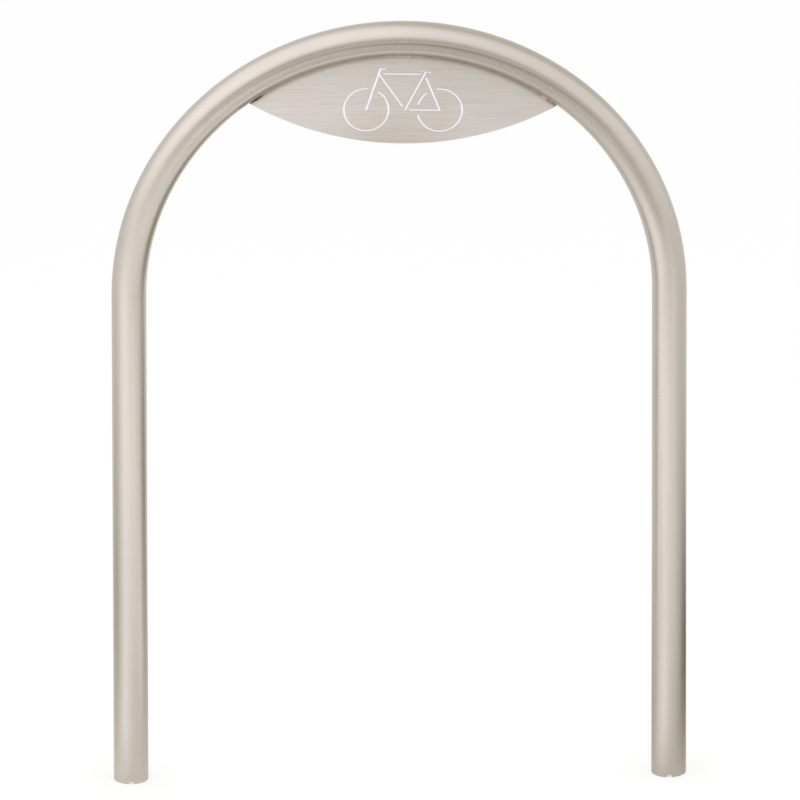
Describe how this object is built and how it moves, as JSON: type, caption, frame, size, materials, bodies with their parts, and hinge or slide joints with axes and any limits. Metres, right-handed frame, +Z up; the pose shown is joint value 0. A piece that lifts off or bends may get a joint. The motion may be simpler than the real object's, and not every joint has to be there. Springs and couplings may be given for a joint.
{
  "type": "hoop bike rack",
  "caption": "Bent steel tube hoop for setting in concrete, with a lens-shaped plate welded under its crown and a bicycle cut through the plate as a stencil.",
  "frame": {"origin": "midway between the feet, on the plane of the tube's cut ends", "axes": "+X to the right leg, +Y away from the viewer through the hoop, +Z up to the crown"},
  "size_m": [0.7984, 0.0482, 1.1192],
  "materials": {
    "tube_steel": "satin stainless steel, ground along the tube",
    "plate_steel": "brushed stainless sheet, grain across the plate",
    "weld_metal": "brushed-off weld metal with a trace of heat tint"
  },
  "bodies": {
    "root": {"hoop_tube": "tube_steel", "infill_plate": "plate_steel", "crown_weld_front": "weld_metal", "crown_weld_rear": "weld_metal", "left_tip_weld_front": "weld_metal", "left_tip_weld_rear": "weld_metal", "right_tip_weld_front": "weld_metal", "right_tip_weld_rear": "weld_metal"}
  },
  "joints": []
}
